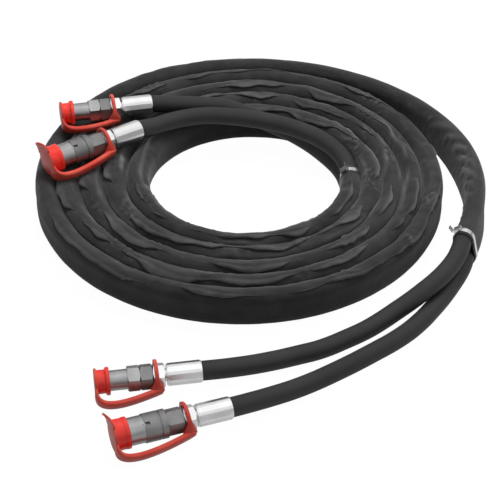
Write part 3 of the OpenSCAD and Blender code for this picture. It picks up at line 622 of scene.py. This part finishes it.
def strapPath(kind, bow):
    # (radius, height along the coupling): a stub behind the ring, then one sweep down and up into the plate
    cap = caps[kind]
    level = (ring["from"] + ring["to"]) / 2
    outer = ring["outside"] + strap["thickness"] / 2 - strap["inRing"]
    plate = cap["end"] - caps["plateThickness"] / 2
    start, end = Vector((outer, level)), Vector((cap["plateRadius"] - strap["inPlate"], plate))
    leave = Vector((outer + strap["leaveOut"], level + strap["leaveAlong"]))
    arrive = Vector((outer + 2 * bow, plate + strap["overPlate"]))
    sink, stub = strap["stubSink"], strap["stub"]
    path = [Vector((outer - sink, level - stub)), Vector((outer - sink / 3, level - stub / 2))]
    for i in range(strap["steps"] + 1):
        t = i / strap["steps"]
        u = 1 - t
        path.append(u ** 3 * start + 3 * u * u * t * leave + 3 * u * t * t * arrive + t ** 3 * end)
    return path


def makeStrap(name, kind, end, bearing, bow):
    path = strapPath(kind, bow)
    run = [0.0]
    for a, b in zip(path, path[1:]):
        run.append(run[-1] + (b - a).length)
    turn = Matrix.Rotation(math.radians(bearing), 3, "Z")
    sections = []
    for i, p in enumerate(path):
        along = (path[min(i + 1, len(path) - 1)] - path[max(i - 1, 0)]).normalized()
        normal = Vector((along.y, -along.x))
        toPlate = hill(run[-1] - run[i], strap["flareLength"])
        narrow = 1 - strap["stubNarrow"] * hill(run[i], strap["narrowTo"])
        thin = 1 - strap["stubThin"] * hill(run[i], strap["thinTo"])
        w = (strap["width"] * narrow + strap["plateFlare"] * toPlate) / 2
        t = strap["thickness"] * (1 - strap["flareThin"] * toPlate) * thin / 2
        section = []
        for k in range(strap["sectionPoints"]):  # an oval with fuller corners
            a = 2 * math.pi * (k + 0.5) / strap["sectionPoints"]
            side = w * math.copysign(abs(math.cos(a)) ** strap["sideFullness"], math.cos(a))
            out = p + normal * t * math.copysign(abs(math.sin(a)) ** strap["backFullness"], math.sin(a))
            section.append(turn @ Vector((out.x, side, out.y)))
        sections.append(section)
    bm = bmesh.new()
    sweepSections(bm, sections)
    return finishPiece(bm, name, end, strap["sharpFrom"])


def makeRing(name, end, bearing):
    # a band that widens where the strap leaves it and ends in a small knob on the far side
    level, half = (ring["from"] + ring["to"]) / 2, (ring["to"] - ring["from"]) / 2
    inside, outside = ring["inside"], ring["outside"]
    edge, rim = outside - ring["edgeIn"], half - ring["edgeAlong"]
    bm = bmesh.new()
    profile = [
        (inside, -half), (edge, -half), (outside, -rim), (outside, 0), (outside, rim), (edge, half),
        (inside, half)]
    spinProfile(bm, profile, ring["steps"])
    for v in bm.verts:
        r, a = math.hypot(v.co.x, v.co.y), math.degrees(math.atan2(v.co.y, v.co.x))
        near = hill(bearingGap(a, bearing), ring["gussetSpread"]) ** 2
        far = hill(bearingGap(a, bearing + 180), ring["knobSpread"])
        crown = 1 - ring["crown"] * (v.co.z / half) ** 2
        v.co.z = level + v.co.z * (ring["narrow"] + ring["flare"] / half * near)
        if r > (inside + edge) / 2:
            grow = 1 + (ring["knob"] * far + ring["gusset"] * near * crown) / r
            v.co.x *= grow
            v.co.y *= grow
    return finishPiece(bm, name, end)


cups, tethers = [], []
for end, (base, yaw, pitch, bearing, bow) in couplings.items():
    where, kind = end.split("_")
    capBody = kind + "_cap_" + where
    origin, axis = couplingAxis(end)
    cup = makeCup(kind + "Cap" + where.title(), kind, end, bearing)
    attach(cup, capBody)
    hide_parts(capBody)
    capStrap = makeStrap(kind + "CapStrap" + where.title(), kind, end, bearing, bow)
    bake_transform(capStrap)
    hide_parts(kind + "_cap_strap_" + where)
    capRing = makeRing(kind + "CapRing" + where.title(), end, bearing)
    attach(capRing, "root")
    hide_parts(kind + "_cap_ring_" + where)
    cups.append(cup)
    tethers += [capStrap, capRing]
print("caps made:", len(cups + tethers), "pieces")

# each return spring: its joint's axis and travel and its fixed end are read, and it gets its own copy of its
# mesh
springs = {
    "poppet_spring": "poppet_push", "lock_spring": "lock_sleeve_pull", "valve_spring": "valve_sleeve_push",
}
travels = {joint["name"]: (Vector(joint["axis"]), joint["range_m"][1]) for joint in frame["joints"]}
for spring, jointName in springs.items():
    for where in ("front", "rear"):
        axis, travel = travels[f"{jointName}_{where}"]
        node = frame["nodes"][f"{spring}_{where}"]
        fixed = max((v.co for v in node.data.vertices), key=lambda co: co.dot(axis)).copy()
        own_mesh(node)


# materials
def startMaterial(name, colour, roughness, metallic=0.0):
    material = bpy.data.materials.new(name)
    material.use_nodes = True
    shader = material.node_tree.nodes["Principled BSDF"]
    shader.inputs["Base Color"].default_value = (*colour, 1)
    shader.inputs["Roughness"].default_value = roughness
    shader.inputs["Metallic"].default_value = metallic
    return material, material.node_tree.nodes, material.node_tree.links, shader


def objectNoise(nodes, links, scale, detail):
    place = nodes.new("ShaderNodeTexCoord")
    texture = nodes.new("ShaderNodeTexNoise")
    texture.inputs["Scale"].default_value = scale
    texture.inputs["Detail"].default_value = detail
    links.new(place.outputs["Object"], texture.inputs["Vector"])
    return texture.outputs["Fac"]


def mathNode(nodes, links, operation, *values):
    # each value is a number or another node's output
    node = nodes.new("ShaderNodeMath")
    node.operation = operation
    for socket, value in zip(node.inputs, values):
        if isinstance(value, bpy.types.NodeSocket):
            links.new(value, socket)
        else:
            socket.default_value = value
    return node.outputs["Value"]


def blendColours(nodes, links, shader, source, low, high):
    # low and high are each (value of the source, colour)
    band = nodes.new("ShaderNodeValToRGB")
    for element, (position, colour) in zip(band.color_ramp.elements, (low, high)):
        element.position = position
        element.color = (*colour, 1)
    links.new(source, band.inputs["Fac"])
    links.new(band.outputs["Color"], shader.inputs["Base Color"])


def bumpFrom(nodes, links, shader, source, strength, distance, before=None):
    bump = nodes.new("ShaderNodeBump")
    bump.inputs["Strength"].default_value = strength
    bump.inputs["Distance"].default_value = distance
    links.new(source, bump.inputs["Height"])
    if before:
        links.new(before.outputs["Normal"], bump.inputs["Normal"])
    links.new(bump.outputs["Normal"], shader.inputs["Normal"])
    return bump


def hoseRubber():
    look = {
        "dark": (0.0105, 0.0105, 0.011), "dusty": (0.021, 0.021, 0.022), "roughness": 0.62, "patchScale": 14,
        "grainScale": 900, "grainStrength": 0.25, "grainDepth": 0.0002,
    }
    material, nodes, links, shader = startMaterial("hoseRubber", look["dark"], look["roughness"])
    patches = objectNoise(nodes, links, look["patchScale"], 5)
    blendColours(nodes, links, shader, patches, (0.35, look["dark"]), (0.7, look["dusty"]))
    grain = objectNoise(nodes, links, look["grainScale"], 2)
    bumpFrom(nodes, links, shader, grain, look["grainStrength"], look["grainDepth"])
    return material


def wovenCloth():
    look = {
        # the dark thread is the cloth's own colour; the paler colour is a painted highlight for raised cloth
        # that catches light
        "thread": (0.0125, 0.0125, 0.0128), "paintedLight": (0.125, 0.125, 0.127), "roughness": 0.82,
        "specular": 0.3, "sheen": 0.16, "sheenRoughness": 0.5, "patchScale": 30, "patchShare": 0.35,
        "threadsPerMetre": 260, "threadStrength": 0.4, "threadDepth": 0.0004, "wrinkleScale": 90,
        "wrinkleStrength": 0.35, "wrinkleDepth": 0.002,
    }
    material, nodes, links, shader = startMaterial("wovenCloth", look["thread"], look["roughness"])
    shader.inputs["Specular IOR Level"].default_value = look["specular"]
    shader.inputs["Sheen Weight"].default_value = look["sheen"]
    shader.inputs["Sheen Roughness"].default_value = look["sheenRoughness"]
    # the mesh attribute gives the painted highlight on raised folds, and random patches add to it
    paintedHighlight = nodes.new("ShaderNodeAttribute")
    paintedHighlight.attribute_name = "paintedHighlight"
    patches = objectNoise(nodes, links, look["patchScale"], 5)
    paintedLight = mathNode(nodes, links, "MULTIPLY_ADD", patches, look["patchShare"], paintedHighlight.outputs["Fac"])
    # the colour runs from the dark thread to the painted highlight
    blendColours(nodes, links, shader, paintedLight, (0.1, look["thread"]), (1.0, look["paintedLight"]))
    flatMap = nodes.new("ShaderNodeUVMap")
    flatMap.uv_map = "cloth"
    threads = []
    for direction in ("X", "Y"):
        wave = nodes.new("ShaderNodeTexWave")
        wave.bands_direction = direction
        # at a scale of 1 the wave turns 20 radians a metre
        wave.inputs["Scale"].default_value = look["threadsPerMetre"] * 2 * math.pi / 20
        links.new(flatMap.outputs["UV"], wave.inputs["Vector"])
        threads.append(wave.outputs["Fac"])
    weave = mathNode(nodes, links, "MULTIPLY", *threads)
    wrinkle = nodes.new("ShaderNodeTexNoise")
    wrinkle.inputs["Scale"].default_value = look["wrinkleScale"]
    wrinkle.inputs["Detail"].default_value = 3
    links.new(flatMap.outputs["UV"], wrinkle.inputs["Vector"])
    first = bumpFrom(
        nodes, links, shader, wrinkle.outputs["Fac"], look["wrinkleStrength"], look["wrinkleDepth"])
    bumpFrom(nodes, links, shader, weave, look["threadStrength"], look["threadDepth"], first)
    return material


def plainMetal(name, low, high, roughness, scratch):
    look = {"patchScale": 60, "rubScale": 240, "rubDepth": 0.0003, "glossier": 0.04, "duller": 0.06}
    material, nodes, links, shader = startMaterial(name, low, roughness, 1.0)
    patches = objectNoise(nodes, links, look["patchScale"], 6)
    blendColours(nodes, links, shader, patches, (0.35, low), (0.65, high))
    rub = objectNoise(nodes, links, look["rubScale"], 4)
    spread = nodes.new("ShaderNodeMapRange")
    spread.inputs["To Min"].default_value = roughness - look["glossier"]
    spread.inputs["To Max"].default_value = roughness + look["duller"]
    links.new(rub, spread.inputs["Value"])
    links.new(spread.outputs["Result"], shader.inputs["Roughness"])
    bumpFrom(nodes, links, shader, rub, scratch, look["rubDepth"])
    return material


def softRed(name, body, pale, roughness):
    look = {
        "patchScale": 45, "grainScale": 500, "grainStrength": 0.15, "grainDepth": 0.0003,
        "glow": 0.05, "glowReach": (0.004, 0.001, 0.001),
    }
    material, nodes, links, shader = startMaterial(name, body, roughness)
    patches = objectNoise(nodes, links, look["patchScale"], 5)
    blendColours(nodes, links, shader, patches, (0.4, body), (0.85, pale))
    grain = objectNoise(nodes, links, look["grainScale"], 3)
    bumpFrom(nodes, links, shader, grain, look["grainStrength"], look["grainDepth"])
    shader.inputs["Subsurface Weight"].default_value = look["glow"]
    shader.inputs["Subsurface Radius"].default_value = look["glowReach"]
    return material


materials = {
    "hose": hoseRubber(),
    "cloth": wovenCloth(),
    "bright": plainMetal("platedSteel", (0.74, 0.74, 0.74), (0.80, 0.80, 0.80), 0.31, 0.008),
    "grey": plainMetal("couplingSteel", (0.23, 0.23, 0.23), (0.28, 0.28, 0.28), 0.5, 0.08),
    "pale": plainMetal("sleeveSteel", (0.34, 0.34, 0.345), (0.42, 0.42, 0.425), 0.36, 0.06),
    "band": plainMetal("bandSteel", (0.66, 0.66, 0.67), (0.78, 0.78, 0.79), 0.22, 0.1),
    "spring": plainMetal("springSteel", (0.4, 0.4, 0.41), (0.5, 0.5, 0.51), 0.35, 0.1),
    "cup": softRed("cupRed", (0.78, 0.024, 0.016), (0.84, 0.07, 0.045), 0.32),
    "red": softRed("strapRed", (0.56, 0.046, 0.030), (0.66, 0.11, 0.075), 0.42),
}
nodeLooks = {  # the longest start that fits a node's name gives its material
    "ferrule": "bright", "insert": "bright", "swivel_nut": "bright", "lock_balls": "bright",
    "poppet": "bright", "centre_stem": "bright", "valve_sleeve": "bright", "sleeve_tie": "band",
    "tie_buckle": "band",
    "plug_adapter": "grey", "socket_adapter": "grey", "socket_body": "grey", "plug_body": "pale",
    "lock_sleeve": "pale", "poppet_spring": "spring", "lock_spring": "spring", "valve_spring": "spring",
    "retaining_ring": "spring", "poppet_seal": "hose",
}


def dress(piece, *looks):
    if piece.material_slots:
        for slot in piece.material_slots:
            slot.material = materials[looks[0]]
    else:
        for look in looks:
            piece.data.materials.append(materials[look])


dress(pressureHose, "hose")
dress(returnHose, "hose")
dress(wovenSleeve, "cloth")
for cup in cups:
    dress(cup, "cup", "red")
for tether in tethers:
    dress(tether, "red")
for nodeName, node in frame["nodes"].items():
    matches = [start for start in nodeLooks if nodeName.startswith(start)]
    if matches:
        dress(node, nodeLooks[max(matches, key=len)])
print("materials given")

# floor, world and lamps
stage = {
    "floorSize": 8.0, "floorGap": 0.0002, "paper": (0.35, 0.35, 0.35), "paperRoughness": 0.9,
    "floorGloss": 0.45, "glowShare": 0.9, "glowStrength": 1.088, "skyLevel": 0.2,
    # what reflections see: a ceiling that fades to a darker horizon, with soft bands across it
    "glossHorizon": 0.2, "glossZenith": 1.1, "fadeFrom": 0.05, "fadeTo": 0.75, "glossBands": 0.36,
    "bandTurns": 21.0,
}
lamps = {  # place, watts and size
    "overhead": ((0.1, 0.55, 1.6), 27.0, 0.8),
    "rightSide": ((1.7, 0.2, 0.9), 13.5, 0.9),
    "front": ((-0.5, -1.7, 1.2), 4.32, 0.9),
}
bm = bmesh.new()
bmesh.ops.create_grid(bm, x_segments=1, y_segments=1, size=stage["floorSize"])
mesh = bpy.data.meshes.new("floor")
bm.to_mesh(mesh)
bm.free()
floor = bpy.data.objects.new("floor", mesh)
bpy.context.scene.collection.objects.link(floor)
floor.location.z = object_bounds()[0].z - stage["floorGap"]
paper, nodes, links, shader = startMaterial("paper", stage["paper"], stage["paperRoughness"])
glow = nodes.new("ShaderNodeEmission")
glow.inputs["Color"].default_value = (1, 1, 1, 1)
glow.inputs["Strength"].default_value = stage["glowStrength"]
rays = nodes.new("ShaderNodeLightPath").outputs
shine = mathNode(nodes, links, "MULTIPLY", rays["Is Glossy Ray"], stage["floorGloss"])
glowing = mathNode(nodes, links, "MULTIPLY_ADD", rays["Is Camera Ray"], stage["glowShare"], shine)
mix = nodes.new("ShaderNodeMixShader")
links.new(glowing, mix.inputs["Fac"])
links.new(shader.outputs["BSDF"], mix.inputs[1])
links.new(glow.outputs["Emission"], mix.inputs[2])
links.new(mix.outputs["Shader"], nodes["Material Output"].inputs["Surface"])
floor.data.materials.append(paper)

world = bpy.data.worlds.new("studio")
bpy.context.scene.world = world
world.use_nodes = True
nodes, links = world.node_tree.nodes, world.node_tree.links
background = nodes["Background"]
background.inputs["Color"].default_value = (1, 1, 1, 1)
rays = nodes.new("ShaderNodeLightPath").outputs
direction = nodes.new("ShaderNodeTexCoord")
height = nodes.new("ShaderNodeSeparateXYZ")
links.new(direction.outputs["Generated"], height.inputs["Vector"])
fade = nodes.new("ShaderNodeMapRange")
fade.inputs["From Min"].default_value = stage["fadeFrom"]
fade.inputs["From Max"].default_value = stage["fadeTo"]
fade.inputs["To Min"].default_value = stage["glossHorizon"] - stage["skyLevel"]
fade.inputs["To Max"].default_value = stage["glossZenith"] - stage["skyLevel"]
links.new(height.outputs["Z"], fade.inputs["Value"])
waves = mathNode(nodes, links, "MULTIPLY", height.outputs["Z"], stage["bandTurns"])
bands = mathNode(nodes, links, "SINE", waves)
banded = mathNode(nodes, links, "MULTIPLY_ADD", bands, stage["glossBands"], fade.outputs["Result"])
level = mathNode(nodes, links, "MULTIPLY_ADD", rays["Is Glossy Ray"], banded, stage["skyLevel"])
white = mathNode(nodes, links, "MAXIMUM", level, rays["Is Camera Ray"])
links.new(white, background.inputs["Strength"])

for name, (place, watts, size) in lamps.items():
    lamp = bpy.data.lights.new(name, "AREA")
    lamp.energy = watts
    lamp.size = size
    holder = bpy.data.objects.new(name, lamp)
    holder.location = place
    holder.rotation_euler = Vector(place).to_track_quat("Z", "Y").to_euler()
    holder.visible_glossy = False
    bpy.context.scene.collection.objects.link(holder)
print("lights placed")
